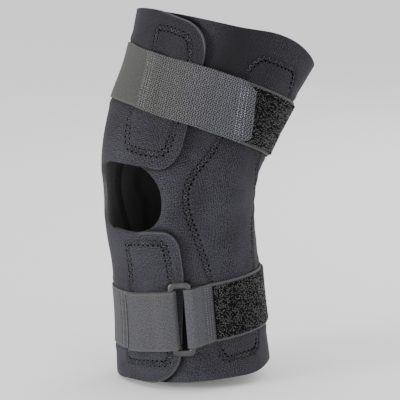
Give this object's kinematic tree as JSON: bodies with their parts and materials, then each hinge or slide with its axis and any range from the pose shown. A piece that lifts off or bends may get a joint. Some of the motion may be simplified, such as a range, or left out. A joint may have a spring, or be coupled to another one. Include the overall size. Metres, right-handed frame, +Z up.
{
  "type": "hinged knee brace",
  "caption": "Neoprene wrap-around knee brace with an open kneecap, hinge stays in side pockets, front flaps and straps above and below the knee, in its worn form",
  "frame": {"origin": "The middle of the knee, on the leg's centreline inside the sleeve", "axes": "+Z runs up towards the thigh, the kneecap faces -Y, and +X is the side that the flaps and the thigh strap's tip close towards"},
  "size_m": [0.1493, 0.1835, 0.3137],
  "materials": {
    "neoprene": "dark charcoal jersey on neoprene foam",
    "hook_tape": "black hook tape",
    "stay_metal": "satin bar",
    "webbing": "grey woven webbing",
    "elastic": "grey ribbed elastic",
    "loop_pile": "black loop pile",
    "ring_plastic": "grey moulded plastic"
  },
  "bodies": {
    "root": {"sleeve": "neoprene", "upper_hook_patch": "hook_tape", "lower_hook_patch": "hook_tape", "outer_hinge_pocket": "neoprene", "inner_hinge_pocket": "neoprene", "outer_hinge_stay": "stay_metal", "inner_hinge_stay": "stay_metal", "thigh_webbing": "webbing", "thigh_pile": "loop_pile", "thigh_elastic": "elastic", "calf_pull_strap": "webbing", "calf_anchor_strap": "webbing", "calf_pile": "loop_pile", "strap_ring": "ring_plastic"}
  },
  "joints": []
}
